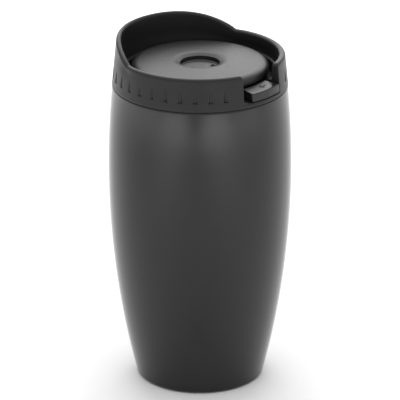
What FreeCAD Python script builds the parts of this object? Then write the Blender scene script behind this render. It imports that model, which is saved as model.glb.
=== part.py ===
import FreeCAD, Part
import math
import os
from FreeCAD import Vector

# Insulated tumbler with a screw lid. Millimetres.
# The origin is the middle of the base, on the surface it stands on, and +Z is up.
# The lid's thumb lever faces -Y and its drinking lip faces +Y.
# Azimuths are in degrees, 0 at -Y and positive towards +X.

AXIS = Vector(0, 0, 1)
CENTRE = Vector(0, 0, 0)

# Barrel: one long arc swept round the axis
BARREL_RADIUS = 44.2
BARREL_WIDEST_Z = 106.5
BARREL_ARC = 434.0
SHELL_WALL = 0.8
SHELL_BOTTOM_Z = 0.8
MOUTH_Z = 149.1
SHOULDER_ROUND = 0.8

# Liner: the cup that holds the drink
LINER_WALL = 0.6
LINER_GAP = 2.8
NECK_RADIUS = 37.8
CUP_FLOOR_Z = 8.0
CUP_CORNER = 6.0
CUP_CORNER_TOP_Z = CUP_FLOOR_Z + CUP_CORNER

# Screw thread between neck and plug: three starts, one turn lifts the lid by the lead
THREAD_LEAD = 12.0
THREAD_STARTS = 3
THREAD_SPAN = 110.0
THREAD_CREST_WIDTH = 0.8
THREAD_ROOT_WIDTH = 1.3
NECK_RIDGE_HEIGHT = 1.1
NECK_RIDGE_Z = 142.2
PLUG_RIDGE_Z = NECK_RIDGE_Z - THREAD_LEAD / THREAD_STARTS / 2

# Base
BASE_DISC_RADIUS = 30.2
BASE_DISC_Z = 3.6
BASE_DISC_WALL = 0.6
PAD_RADIUS = 29.3
PAD_TOP_Z = 2.6

# Lid body: collar, rim, lip and threaded plug
COLLAR_BOTTOM_Z = 149.6
COLLAR_BOTTOM_RADIUS = 42.15
COLLAR_MID = Vector(40.95, 0, 161.5)
COLLAR_TOP = Vector(39.6, 0, 176.0)
RIM_INNER_RADIUS = 37.4
LEDGE_Z = 156.7
LEDGE_WALL_RADIUS = 37.6
WELL_RADIUS = 36.0
LOW_RIM_Z = 165.1
LIP_RISE = 9.0
LIP_HALF_ANGLE = 73.5
LIP_POWER = 3.2
PLUG_RADIUS = 36.3
PLUG_INNER_RADIUS = 34.3
PLUG_BOTTOM_Z = 138.5

# Window and thumb lever
WINDOW_HALF_ANGLE = 17.3
SILL_Z = 151.3
LEVER_LEFT = -10.9
LEVER_RIGHT = 17.1
LEVER_TRAVEL = 6.0
LEVER_BOTTOM_Z = 151.6
LEVER_TOP_Z = 156.1
LEVER_INNER_RADIUS = 33.6
TONGUE_LEFT = -8.0
TONGUE_RIGHT = 14.0
TONGUE_END_RADIUS = 38.0
PIN_RADIUS = 0.9
PIN_BOTTOM_Z = 151.7
PIN_TOP_Z = 154.6
PIN_CIRCLE_RADIUS = 35.8
PIN_AZIMUTHS = (-4.0, 10.0)

# Grip flutes
FLUTE_PITCH = 10.0
FLUTE_FIRST = 30.0
FLUTE_COUNT = 31
FLUTE_BOTTOM_Z = 153.5
FLUTE_TOP_Z = 158.8
FLUTE_RADIUS = 1.0
FLUTE_TIP_RADIUS = 0.15
FLUTE_STAND_OFF = 0.4

# Valve seat: floor, skirt and hub
FLOOR_TOP_Z = 151.3
FLOOR_BOTTOM_Z = 149.9
SEAT_RADIUS = 35.9
SEAT_SKIRT_RADIUS = 34.2
SEAT_SKIRT_BOTTOM_Z = 146.0
HUB_RADIUS = 12.5
HUB_BORE = 11.1
HUB_TOP_Z = 157.2
O_RING_SECTION = 0.55

# Sip slots in the floor, and the same slots in the shutter half a pitch away
SLOT_INNER_RADIUS = 24.0
SLOT_OUTER_RADIUS = 30.5
SLOT_HALF_ANGLE = 2.4
SLOT_AZIMUTHS = [180 + 2 * LEVER_TRAVEL * step for step in (-2, -1, 0, 1, 2)]

# Shutter
SHUTTER_RADIUS = 33.0
SHUTTER_BOTTOM_Z = 151.9
SHUTTER_TOP_Z = 153.5
SEAL_BOTTOM_Z = 151.35
SEAL_INNER_RADIUS = 21.0
SEAL_OUTER_RADIUS = 32.4
BEARING_GAP = 0.06

# Cover
COVER_RADIUS = 33.0
COVER_BOTTOM_Z = 156.5
COVER_EDGE_Z = 160.9
COVER_CROWN_Z = 161.3
COVER_EDGE_ROUND = 2.0
DISH_RADIUS = 12.6
HOLE_RADIUS = 9.5
HOLE_EDGE_Z = 160.2
COVER_WALL = 1.4
HOLD_DOWN_INNER = 12.8
HOLD_DOWN_OUTER = 14.4

# Vent button, stem and valve
BUTTON_RADIUS = 9.3
BUTTON_FACE_Z = 158.3
BUTTON_THICKNESS = 1.3
BUTTON_SKIRT_Z = 154.2
STEM_RADIUS = 1.6
STEM_BOTTOM_Z = 147.9
STEM_GAP = 0.1
VENT_HOLE_RADIUS = 0.8
VENT_CIRCLE_RADIUS = 4.0
VENT_HOLES = 4
SPRING_RADIUS = 6.2
SPRING_WIRE = 0.3
SPRING_TURNS = 4
TOUCH_GAP = 0.05


def polar(radius, azimuth, z):
    """Point at a radius and an azimuth."""
    angle = math.radians(azimuth)
    return Vector(radius * math.sin(angle), -radius * math.cos(angle), z)


def rz(radius, z):
    """Point of a profile in the XZ plane."""
    return Vector(radius, 0, z)


def lines(*points):
    """Edges through points given as (radius, z) pairs or vectors."""
    places = [point if isinstance(point, Vector) else rz(*point) for point in points]
    return [Part.makeLine(a, b) for a, b in zip(places, places[1:])]


def arc(start, middle, end):
    """Edge of an arc through three points of a profile."""
    return Part.Arc(start, middle, end).toShape()


def turned(edges, angle=360):
    """Solid of a closed profile turned about the axis."""
    face = Part.Face(Part.Wire(Part.__sortEdges__(edges)))
    return face.revolve(CENTRE, AXIS, angle)


def turned_polygon(*points):
    """Solid of a closed straight-sided profile."""
    return turned(lines(*points, points[0]))


def tube(outer, inner, bottom, top):
    """Plain round tube."""
    return turned_polygon((inner, bottom), (outer, bottom), (outer, top), (inner, top))


def cylinder(radius, bottom, top, place=CENTRE):
    """Round bar standing on the XY plane of a place."""
    return Part.makeCylinder(radius, top - bottom, Vector(place.x, place.y, bottom))


def sector(inner, outer, bottom, top, start, end):
    """Block between two radii, two heights and two azimuths."""
    profile = lines((inner, bottom), (outer, bottom), (outer, top), (inner, top), (inner, bottom))
    block = turned(profile, end - start)
    return block.rotated(CENTRE, AXIS, start - 90)


def barrel(z, inset=0.0):
    """Radius of the barrel's arc, moved in by a wall, at a height."""
    centre = BARREL_RADIUS - BARREL_ARC
    return centre + math.sqrt((BARREL_ARC - inset) ** 2 - (z - BARREL_WIDEST_Z) ** 2)


def barrel_arc(bottom, top, inset=0.0):
    """Edge of the barrel's arc between two heights."""
    middle = (bottom + top) / 2
    return arc(*[rz(barrel(z, inset), z) for z in (bottom, middle, top)])


def corner(centre_radius, centre_z, end):
    """Quarter arc from straight below its centre out to an end point."""
    reach = end.x - centre_radius
    diagonal = reach * math.sqrt(0.5)
    start = rz(centre_radius, centre_z - reach)
    return arc(start, rz(centre_radius + diagonal, centre_z - diagonal), end)


def helix_pipe(profile, radius, height, pitch):
    """Solid swept by a profile along a helix about the axis."""
    spine = Part.Wire(Part.makeHelix(pitch, height, radius).Edges)
    pipe = Part.BRepOffsetAPI.MakePipeShell(spine)
    pipe.setFrenetMode(True)
    pipe.add(profile)
    pipe.build()
    pipe.makeSolid()
    return pipe.shape()


def thread_ridges(root_radius, crest_radius, z):
    """Helical ridges of every start, rooted a little inside the wall they stand on."""
    outward = math.copysign(1, crest_radius - root_radius)
    root = root_radius - 0.2 * outward
    half_root = THREAD_ROOT_WIDTH / 2
    half_crest = THREAD_CREST_WIDTH / 2
    outline = [(root, -half_root), (crest_radius, -half_crest), (crest_radius, half_crest), (root, half_root)]
    profile = Part.Wire(lines(*outline, outline[0]))
    ridge = helix_pipe(profile, root_radius, THREAD_LEAD * THREAD_SPAN / 360, THREAD_LEAD)
    ridge.translate(Vector(0, 0, z))
    return [ridge.rotated(CENTRE, AXIS, 360 / THREAD_STARTS * start) for start in range(THREAD_STARTS)]


def o_ring(radius, z):
    """Round rubber ring."""
    return Part.makeTorus(radius, O_RING_SECTION, Vector(0, 0, z))


def slots(azimuths, bottom, top):
    """Sip slots at the given azimuths."""
    return [sector(SLOT_INNER_RADIUS, SLOT_OUTER_RADIUS, bottom, top,
                   azimuth - SLOT_HALF_ANGLE, azimuth + SLOT_HALF_ANGLE) for azimuth in azimuths]


def outer_shell():
    """Steel barrel with its top folded in to the neck."""
    round_z = MOUTH_Z - SHOULDER_ROUND
    edge = barrel(round_z)
    flat = edge - SHOULDER_ROUND
    diagonal = SHOULDER_ROUND * math.sqrt(0.5)
    fold = arc(rz(edge, round_z), rz(flat + diagonal, round_z + diagonal), rz(flat, MOUTH_Z))
    neck = NECK_RADIUS + LINER_WALL
    inner_edge = barrel(round_z, SHELL_WALL)
    top = lines((flat, MOUTH_Z), (neck, MOUTH_Z), (neck, round_z), (inner_edge, round_z))
    bottom = lines((barrel(SHELL_BOTTOM_Z, SHELL_WALL), SHELL_BOTTOM_Z), (barrel(SHELL_BOTTOM_Z), SHELL_BOTTOM_Z))
    outer = barrel_arc(SHELL_BOTTOM_Z, round_z)
    inner = barrel_arc(SHELL_BOTTOM_Z, round_z, SHELL_WALL)
    return turned([outer, fold, *top, inner, *bottom])


def liner_side(radius, inset, floor_z):
    """Half profile of one face of the liner, from the middle of the floor up to the mouth."""
    join_z = BARREL_WIDEST_Z - math.sqrt((BARREL_ARC - inset) ** 2
                                         - (radius - BARREL_RADIUS + BARREL_ARC) ** 2)
    side = rz(barrel(CUP_CORNER_TOP_Z, inset), CUP_CORNER_TOP_Z)
    centre_radius = side.x - (CUP_CORNER_TOP_Z - floor_z)
    return [*lines((0, floor_z), (centre_radius, floor_z)),
            corner(centre_radius, CUP_CORNER_TOP_Z, side),
            barrel_arc(CUP_CORNER_TOP_Z, join_z, inset),
            *lines((radius, join_z), (radius, MOUTH_Z))]


def inner_liner():
    """Steel cup with thread ridges in its neck."""
    outer_inset = SHELL_WALL + LINER_GAP
    outside = liner_side(NECK_RADIUS + LINER_WALL, outer_inset, CUP_FLOOR_Z - LINER_WALL)
    inside = liner_side(NECK_RADIUS, outer_inset + LINER_WALL, CUP_FLOOR_Z)
    ends = lines((0, CUP_FLOOR_Z - LINER_WALL), (0, CUP_FLOOR_Z))
    ends += lines((NECK_RADIUS, MOUTH_Z), (NECK_RADIUS + LINER_WALL, MOUTH_Z))
    cup = turned(outside + inside + ends)
    return cup.fuse(thread_ridges(NECK_RADIUS, NECK_RADIUS - NECK_RIDGE_HEIGHT, NECK_RIDGE_Z))


def copper_foil():
    """Thin sleeve round the straight part of the liner."""
    inner = NECK_RADIUS + LINER_WALL + 0.1
    return tube(inner + 0.15, inner, 66.0, 132.0)


def base_disc():
    """Pressed disc with a turned-down rim, welded inside the foot of the shell."""
    top = BASE_DISC_Z + BASE_DISC_WALL
    rim = BASE_DISC_RADIUS - BASE_DISC_WALL
    return turned_polygon((0, BASE_DISC_Z), (rim, BASE_DISC_Z), (rim, 1.2), (BASE_DISC_RADIUS, 1.2),
                          (BASE_DISC_RADIUS, top), (0, top))


def getter():
    """Pellet on the inside of the base disc."""
    top = BASE_DISC_Z + BASE_DISC_WALL
    return cylinder(5.0, top, top + 1.6)


def vacuum_seal():
    """Bead under the pump-out hole."""
    return Part.makeCone(2.0, 3.0, 0.6, Vector(0, 0, BASE_DISC_Z - 0.6))


def base_pad():
    """Rubber foot that the tumbler stands on, hollow in the middle of its underside."""
    foot_inner = 21.0
    hollow = 0.6
    edge = 0.4
    return turned_polygon((0, hollow), (foot_inner - hollow, hollow), (foot_inner, 0), (PAD_RADIUS - edge, 0),
                          (PAD_RADIUS, edge), (PAD_RADIUS, PAD_TOP_Z), (0, PAD_TOP_Z))


def rim_height(offset):
    """Height of the rim at an angle from the middle of the drinking lip."""
    return LOW_RIM_Z + LIP_RISE * (1 - (abs(offset) / LIP_HALF_ANGLE) ** LIP_POWER)


def above_lip():
    """Space above the drinking lip, bounded below by the lip's rise and fall."""
    steps = 10
    offsets = [LIP_HALF_ANGLE * step / steps for step in range(-steps, steps + 1)]
    curves = []
    for radius in (34.0, 46.0):
        curve = Part.BSplineCurve()
        curve.interpolate([polar(radius, 180 + offset, rim_height(offset)) for offset in offsets])
        curves.append(curve.toShape())
    return Part.makeRuledSurface(*curves).extrude(Vector(0, 0, 20))


def flute(azimuth):
    """Tool for one teardrop groove: a thin cone lying against the collar."""
    bottom = polar(collar_radius(FLUTE_BOTTOM_Z) + FLUTE_STAND_OFF, azimuth, FLUTE_BOTTOM_Z)
    top = polar(collar_radius(FLUTE_TOP_Z) + FLUTE_TIP_RADIUS / 2, azimuth, FLUTE_TOP_Z)
    along = top.sub(bottom)
    return Part.makeCone(FLUTE_RADIUS, FLUTE_TIP_RADIUS, along.Length, bottom, along)


def collar_side():
    """Edge of the collar's outer side, leaning in as it rises."""
    return arc(rz(COLLAR_BOTTOM_RADIUS, COLLAR_BOTTOM_Z + 0.3), COLLAR_MID, COLLAR_TOP)


def collar_radius(z):
    """Outer radius of the collar at a height."""
    level = Part.makeLine(rz(30, z), rz(50, z))
    return collar_side().distToShape(level)[1][0][0].x


def lid_body():
    """Collar with rim, lip, window and flutes, and the threaded plug below it."""
    bevel = 0.3
    inside = lines(COLLAR_TOP, (RIM_INNER_RADIUS, COLLAR_TOP.z), (LEDGE_WALL_RADIUS, LEDGE_Z),
                   (WELL_RADIUS, LEDGE_Z), (WELL_RADIUS, FLOOR_BOTTOM_Z),
                   (PLUG_INNER_RADIUS, FLOOR_BOTTOM_Z), (PLUG_INNER_RADIUS, PLUG_BOTTOM_Z))
    outside = lines((PLUG_INNER_RADIUS, PLUG_BOTTOM_Z), (PLUG_RADIUS, PLUG_BOTTOM_Z),
                    (PLUG_RADIUS, COLLAR_BOTTOM_Z), (COLLAR_BOTTOM_RADIUS - bevel, COLLAR_BOTTOM_Z),
                    (COLLAR_BOTTOM_RADIUS, COLLAR_BOTTOM_Z + bevel))
    body = turned([*outside, collar_side(), *inside])
    low_side = 180 - LIP_HALF_ANGLE
    body = body.cut(sector(34, 46, LOW_RIM_Z, LOW_RIM_Z + 20, -low_side, low_side))
    body = body.cut(above_lip())
    body = body.cut(sector(WELL_RADIUS - 0.1, 46, SILL_Z, LOW_RIM_Z + 20, -WINDOW_HALF_ANGLE, WINDOW_HALF_ANGLE))
    body = body.cut([flute(FLUTE_FIRST + FLUTE_PITCH * index) for index in range(FLUTE_COUNT)])
    crest = PLUG_RADIUS + NECK_RIDGE_HEIGHT
    return body.fuse(thread_ridges(PLUG_RADIUS, crest, PLUG_RIDGE_Z))


def lid_gasket():
    """Flat ring between the mouth and the collar."""
    return tube(41.0, PLUG_RADIUS + 0.4, MOUTH_Z + TOUCH_GAP, COLLAR_BOTTOM_Z - TOUCH_GAP)


def valve_seat():
    """Floor of the lid with its skirt, hub, sip slots and vent holes."""
    groove_top = 148.8
    groove_bottom = 147.2
    groove_radius = SEAT_SKIRT_RADIUS - 1.1
    skirt_inner = groove_radius - 0.9
    guide = STEM_RADIUS + STEM_GAP
    seat = turned_polygon((guide, FLOOR_BOTTOM_Z), (skirt_inner, FLOOR_BOTTOM_Z),
                          (skirt_inner, SEAT_SKIRT_BOTTOM_Z), (SEAT_SKIRT_RADIUS, SEAT_SKIRT_BOTTOM_Z),
                          (SEAT_SKIRT_RADIUS, groove_bottom), (groove_radius, groove_bottom),
                          (groove_radius, groove_top), (SEAT_SKIRT_RADIUS, groove_top),
                          (SEAT_SKIRT_RADIUS, FLOOR_BOTTOM_Z), (SEAT_RADIUS, FLOOR_BOTTOM_Z),
                          (SEAT_RADIUS, FLOOR_TOP_Z), (HUB_RADIUS, FLOOR_TOP_Z), (HUB_RADIUS, HUB_TOP_Z),
                          (HUB_BORE, HUB_TOP_Z), (HUB_BORE, FLOOR_TOP_Z), (guide, FLOOR_TOP_Z))
    vents = [cylinder(VENT_HOLE_RADIUS, FLOOR_BOTTOM_Z - 1, FLOOR_TOP_Z + 1,
                      polar(VENT_CIRCLE_RADIUS, 360 / VENT_HOLES * index, 0)) for index in range(VENT_HOLES)]
    return seat.cut(vents + slots(SLOT_AZIMUTHS, FLOOR_BOTTOM_Z - 1, FLOOR_TOP_Z + 1))


def seat_o_ring():
    """Ring in the groove of the seat's skirt."""
    return o_ring(PLUG_INNER_RADIUS - O_RING_SECTION - 0.03, 148.0)


def shutter():
    """Turning disc with the sip slots, and a tongue that reaches out to the thumb lever."""
    bore = HUB_RADIUS + BEARING_GAP
    groove = bore + 1.1
    groove_bottom = SHUTTER_BOTTOM_Z + 0.25
    groove_top = SHUTTER_TOP_Z - 0.25
    disc = turned_polygon((bore, SHUTTER_BOTTOM_Z), (SHUTTER_RADIUS, SHUTTER_BOTTOM_Z),
                          (SHUTTER_RADIUS, SHUTTER_TOP_Z), (bore, SHUTTER_TOP_Z), (bore, groove_top),
                          (groove, groove_top), (groove, groove_bottom), (bore, groove_bottom))
    tongue = sector(SHUTTER_RADIUS - 1, TONGUE_END_RADIUS, SHUTTER_BOTTOM_Z, SHUTTER_TOP_Z,
                    TONGUE_LEFT, TONGUE_RIGHT)
    closed = [azimuth + LEVER_TRAVEL for azimuth in SLOT_AZIMUTHS]
    return disc.fuse(tongue).cut(pin_bars() + slots(closed, SHUTTER_BOTTOM_Z - 1, SHUTTER_TOP_Z + 1))


def shutter_seal():
    """Soft facing bonded under the shutter, with the same slots."""
    facing = tube(SEAL_OUTER_RADIUS, SEAL_INNER_RADIUS, SEAL_BOTTOM_Z, SHUTTER_BOTTOM_Z)
    closed = [azimuth + LEVER_TRAVEL for azimuth in SLOT_AZIMUTHS]
    return facing.cut(slots(closed, SEAL_BOTTOM_Z - 1, SHUTTER_BOTTOM_Z + 1))


def hub_o_ring():
    """Ring in the shutter's bore."""
    middle = (SHUTTER_BOTTOM_Z + SHUTTER_TOP_Z) / 2
    return o_ring(HUB_RADIUS + O_RING_SECTION + TOUCH_GAP, middle)


def pin_bars():
    """Two short bars that join lever and tongue."""
    return [cylinder(PIN_RADIUS, PIN_BOTTOM_Z, PIN_TOP_Z, polar(PIN_CIRCLE_RADIUS, azimuth, 0))
            for azimuth in PIN_AZIMUTHS]


def thumb_lever():
    """Slider that fills most of the window, flush with the collar."""
    face_bottom = collar_radius(LEVER_BOTTOM_Z)
    face_top = collar_radius(LEVER_TOP_Z)
    block = turned(lines((LEVER_INNER_RADIUS, LEVER_BOTTOM_Z), (face_bottom, LEVER_BOTTOM_Z),
                         (face_top, LEVER_TOP_Z), (LEVER_INNER_RADIUS, LEVER_TOP_Z),
                         (LEVER_INNER_RADIUS, LEVER_BOTTOM_Z)), LEVER_RIGHT - LEVER_LEFT)
    block.rotate(CENTRE, AXIS, LEVER_LEFT - 90)
    pocket = sector(LEVER_INNER_RADIUS - 1, TONGUE_END_RADIUS + TOUCH_GAP, SHUTTER_BOTTOM_Z - TOUCH_GAP,
                    SHUTTER_TOP_Z + TOUCH_GAP, TONGUE_LEFT - 0.1, TONGUE_RIGHT + 0.1)
    return block.cut([pocket, *pin_bars()])


def lever_pins():
    """Two pins pressed up through lever and tongue."""
    return Part.makeCompound(pin_bars())


def dial_cover():
    """Domed cover with a dished hole, a hold-down ring and a spigot that fits the hub."""
    edge = COVER_RADIUS - COVER_EDGE_ROUND
    shoulder_z = COVER_EDGE_Z - COVER_EDGE_ROUND
    diagonal = COVER_EDGE_ROUND * math.sqrt(0.5)
    dome_middle = rz((DISH_RADIUS + edge) / 2, (COVER_CROWN_Z + COVER_EDGE_Z) / 2 + 0.12)
    dome = arc(rz(DISH_RADIUS, COVER_CROWN_Z), dome_middle, rz(edge, COVER_EDGE_Z))
    rounding = arc(rz(edge, COVER_EDGE_Z), rz(edge + diagonal, shoulder_z + diagonal),
                   rz(COVER_RADIUS, shoulder_z))
    spigot = HUB_BORE - TOUCH_GAP
    underside = 159.3
    inside = lines((COVER_RADIUS, shoulder_z), (COVER_RADIUS, COVER_BOTTOM_Z),
                   (COVER_RADIUS - COVER_WALL, COVER_BOTTOM_Z), (COVER_RADIUS - COVER_WALL, underside),
                   (HOLD_DOWN_OUTER, underside + 0.5), (HOLD_DOWN_OUTER, SHUTTER_TOP_Z + 0.15),
                   (HOLD_DOWN_INNER, SHUTTER_TOP_Z + 0.15), (HOLD_DOWN_INNER, underside),
                   (spigot, underside), (spigot, FLOOR_TOP_Z + TOUCH_GAP),
                   (HOLE_RADIUS, FLOOR_TOP_Z + TOUCH_GAP), (HOLE_RADIUS, HOLE_EDGE_Z),
                   (DISH_RADIUS, COVER_CROWN_Z))
    return turned([dome, rounding, *inside])


def vent_button():
    """Round button with a skirt that guides it, and a stem down to the valve."""
    under = BUTTON_FACE_Z - BUTTON_THICKNESS
    skirt = BUTTON_RADIUS - 1.0
    edge = 0.3
    return turned_polygon((0, STEM_BOTTOM_Z), (STEM_RADIUS, STEM_BOTTOM_Z), (STEM_RADIUS, 154.5),
                          (3.0, 154.5), (3.0, under), (skirt, under), (skirt, BUTTON_SKIRT_Z),
                          (BUTTON_RADIUS, BUTTON_SKIRT_Z), (BUTTON_RADIUS, BUTTON_FACE_Z - edge),
                          (BUTTON_RADIUS - edge, BUTTON_FACE_Z), (0, BUTTON_FACE_Z))


def button_spring():
    """Compression spring between the floor and the button."""
    clearance = SPRING_WIRE + 0.02
    bottom = FLOOR_TOP_Z + clearance
    height = BUTTON_FACE_Z - BUTTON_THICKNESS - clearance - bottom
    wire = Part.Wire(Part.makeCircle(SPRING_WIRE, rz(SPRING_RADIUS, 0), Vector(0, 1, 0)))
    spring = helix_pipe(wire, SPRING_RADIUS, height, height / SPRING_TURNS)
    return spring.translated(Vector(0, 0, bottom))


def vent_valve():
    """Soft disc on the stem that closes the vent holes from below."""
    top = FLOOR_BOTTOM_Z - TOUCH_GAP
    return turned_polygon((STEM_RADIUS, top - 1.0), (4.5, top - 1.0), (6.2, top - 0.4), (6.2, top),
                          (STEM_RADIUS, top))


def valve_clip():
    """Push-on clip under the valve."""
    top = FLOOR_BOTTOM_Z - TOUCH_GAP - 1.0
    return tube(3.4, STEM_RADIUS, top - 0.4, top)


SUB_PARTS = [outer_shell, inner_liner, copper_foil, base_disc, getter, vacuum_seal, base_pad,
             lid_body, lid_gasket, valve_seat, seat_o_ring, shutter, shutter_seal, hub_o_ring,
             thumb_lever, lever_pins, dial_cover, vent_button, button_spring, vent_valve, valve_clip]

os.makedirs("parts", exist_ok=True)
for make in SUB_PARTS:
    shape = make()
    shape.exportStep(f"parts/{make.__name__}.step")
    print(f"{make.__name__:14s} valid {shape.isValid()} solids {len(shape.Solids)} volume {shape.Volume:9.1f} mm3")
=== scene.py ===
# %% [markdown]
# # An insulated tumbler with a screw lid
#
# The tumbler is a double-walled steel barrel with a dark lacquer, and a black plastic lid. The lid has
# a drinking lip that rises on one side, a thumb lever in a window on the other side, and a domed cover
# with a recessed button. This lesson dresses a mechanical model of it: the sizes and the moving bodies
# come with the frame, and every cell adds one visible piece or one finish.

# %% Load the frame
import math

import bmesh
import bpy
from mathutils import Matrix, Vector


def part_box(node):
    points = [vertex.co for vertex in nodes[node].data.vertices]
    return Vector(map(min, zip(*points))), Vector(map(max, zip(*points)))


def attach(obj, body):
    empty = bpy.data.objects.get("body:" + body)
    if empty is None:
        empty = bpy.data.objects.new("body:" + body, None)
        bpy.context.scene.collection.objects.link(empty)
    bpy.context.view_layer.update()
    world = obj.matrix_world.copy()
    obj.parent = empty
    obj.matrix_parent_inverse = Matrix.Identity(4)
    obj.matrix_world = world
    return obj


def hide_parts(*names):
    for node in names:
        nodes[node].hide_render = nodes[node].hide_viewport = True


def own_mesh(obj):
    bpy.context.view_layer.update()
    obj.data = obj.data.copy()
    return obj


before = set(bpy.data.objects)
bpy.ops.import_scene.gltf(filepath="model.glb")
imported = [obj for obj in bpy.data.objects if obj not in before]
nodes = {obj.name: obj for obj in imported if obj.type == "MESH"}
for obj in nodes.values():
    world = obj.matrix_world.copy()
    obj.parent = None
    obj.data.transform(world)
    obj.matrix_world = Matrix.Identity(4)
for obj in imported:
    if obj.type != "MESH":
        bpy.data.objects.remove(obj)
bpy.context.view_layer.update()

MM = 0.001

# %% [markdown]
# ## Measures
#
# The frame gives a box for every part. Heights and radii of the visible pieces are read from those
# boxes wherever a box can give them. Those that a box can't give, such as the height of the low rim
# beside the lip, are named here, or just before the piece that needs them. Radii and heights are in
# millimetres, because the parts are small and round, and the mesh helpers turn them into metres at the
# last moment. Azimuths are in degrees: 0 is the side of the thumb lever, and they grow towards +X.

# %% Sizes taken from the frame
def reach(node):
    """Largest radius, bottom and top of a node's box, in mm."""
    low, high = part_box(node)
    return high.x / MM, low.z / MM, high.z / MM


_, BARREL_BOTTOM, MOUTH = reach("outer_shell")
_, PLUG_BOTTOM, LIP_TOP = reach("lid_body")
COVER, SPIGOT_BOTTOM, COVER_TOP = reach("dial_cover")
BUTTON, STEM_BOTTOM, BUTTON_FACE = reach("vent_button")
PAD, PAD_BOTTOM, PAD_TOP = reach("base_pad")
GASKET, GASKET_BOTTOM, GASKET_TOP = reach("lid_gasket")
_, LINER_BOTTOM, LINER_TOP = reach("inner_liner")
_, LEVER_BOTTOM, LEVER_TOP = reach("thumb_lever")
SPRING, SPRING_BOTTOM, SPRING_TOP = reach("button_spring")
print("mouth at", round(MOUTH, 2), "mm, lip at", round(LIP_TOP, 2), "mm")

# %% Sizes that a box can't give
BARREL_RADIUS = 44.2
BARREL_ARC = 434.0
BARREL_WIDEST_Z = 106.5
SHELL_WALL = 0.8
VACUUM_GAP = 2.8
LINER_WALL = 0.6
COLLAR_BOTTOM = 149.6
SILL = 151.3
WINDOW_HALF = 17.3
LEDGE = 156.7
WELL = 36.0
PLUG = 36.3
PLUG_BORE = 34.3
SEAT_UNDERSIDE = 149.9
LOW_RIM = 165.1
LIP_HALF = 73.5
LIP_POWER = 3.2
RIM_INNER = 37.4
LEVER_LEFT = -10.9
LEVER_RIGHT = 17.1
LEVER_INNER = 33.6
FLUTE_BOTTOM = 153.5
FLUTE_TOP = 159.4
THREAD_LEAD = 12.0
THREAD_SPAN = 110
THREAD_HEIGHT = 1.1
NECK = 37.8
NECK_RIDGE = 142.2
PLUG_RIDGE = 140.2
print("lip rises", round(LIP_TOP - LOW_RIM, 1), "mm above the low rim")

# %% [markdown]
# ## Mesh helpers
#
# Nearly every piece here came off a lathe or out of a round mould, so one idea builds them all: a closed
# outline in the plane through the axis, carried round it. A modifier could turn a fixed outline, but the
# lid's outline changes with the azimuth: the lip rises, the flutes bite in, the window interrupts it.
# So the helper takes one outline for every azimuth and joins neighbouring outlines with quads. For a
# plain turned piece, it is simply given the same outline every time.

# %% Places, outlines and rounded corners
def place(radius, azimuth, z):
    """Point in metres at a radius and height in mm and an azimuth in degrees."""
    angle = math.radians(azimuth)
    return Vector((radius * math.sin(angle), -radius * math.cos(angle), z)) * MM


def rounded(corners, steps=5):
    """Outline through (radius, z, rounding) corners, with an arc in place of each sharp corner."""
    outline = []
    for index, (radius, z, rounding) in enumerate(corners):
        here = Vector((radius, z))
        if not rounding:
            outline.append(tuple(here))
            continue
        before = Vector(corners[index - 1][:2]) - here
        after = Vector(corners[(index + 1) % len(corners)][:2]) - here
        half = before.angle(after) / 2
        inward = (before.normalized() + after.normalized()).normalized()
        centre = here + inward * rounding / math.sin(half)
        first = here + before.normalized() * rounding / math.tan(half) - centre
        last = here + after.normalized() * rounding / math.tan(half) - centre
        for step in range(steps + 1):
            spoke = first.slerp(last, step / steps).normalized() * rounding
            outline.append(tuple(centre + spoke))
    return outline


def spread(start, end, count):
    """Evenly spaced values from start to end."""
    return [start + (end - start) * index / (count - 1) for index in range(count)]


square = rounded([(0, 0, 1), (9, 0, 1), (9, 9, 1), (0, 9, 1)])
print("a square with rounded corners has", len(square), "points")

# %% From outlines to a piece
def piece(name, verts, faces, crease=35):
    """Object from points in metres, smooth except where faces meet at more than the crease angle."""
    mesh = bpy.data.meshes.new(name)
    mesh.from_pydata(verts, [], faces)
    mesh.validate()
    mesh.update()
    mesh.polygons.foreach_set("use_smooth", [True] * len(mesh.polygons))
    mesh.set_sharp_from_angle(angle=math.radians(crease))
    thing = bpy.data.objects.new(name, mesh)
    bpy.context.scene.collection.objects.link(thing)
    print(name, len(faces), "faces")
    return thing


def skin(outlines, azimuths, closed_round=True, closed_outline=True, start=0):
    """Points and quads between outlines of (radius, z) standing at the azimuths."""
    count = len(outlines[0])
    verts = [place(radius, azimuth, z)
             for outline, azimuth in zip(outlines, azimuths) for radius, z in outline]
    columns = len(azimuths) if closed_round else len(azimuths) - 1
    rows = count if closed_outline else count - 1
    faces = []
    for column in range(columns):
        here = start + column * count
        there = start + (column + 1) % len(azimuths) * count
        for row in range(rows):
            up = (row + 1) % count
            faces.append((here + row, there + row, there + up, here + up))
    return verts, faces


def turned(name, outline, segments=192, crease=35):
    """Piece of one outline carried right round the axis. An outline that starts and ends on the axis
    is left open there, and its end points become single points."""
    azimuths = [360 * index / segments for index in range(segments)]
    solid = outline[0][0] > 0
    verts, faces = skin([outline] * segments, azimuths, closed_outline=solid)
    thing = piece(name, verts, faces, crease)
    if not solid:
        weld(thing)
    return thing


def weld(thing):
    """Joins points that lie in one place."""
    mesh = bmesh.new()
    mesh.from_mesh(thing.data)
    bmesh.ops.remove_doubles(mesh, verts=mesh.verts, dist=1e-7)
    bmesh.ops.dissolve_degenerate(mesh, edges=mesh.edges, dist=1e-7)
    mesh.to_mesh(thing.data)
    mesh.free()

# %% [markdown]
# ## The barrel
#
# The shell of the real tumbler is a steel tube that a press has bulged into a barrel, and its side is one
# long arc. A subdivision surface over a few rings would come close, but lacquer shows every ripple in
# a surface as a bend in a reflection, so the rings are set on the true arc instead. The top edge rolls
# in over a small radius and the bottom edge is trimmed almost square.

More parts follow.
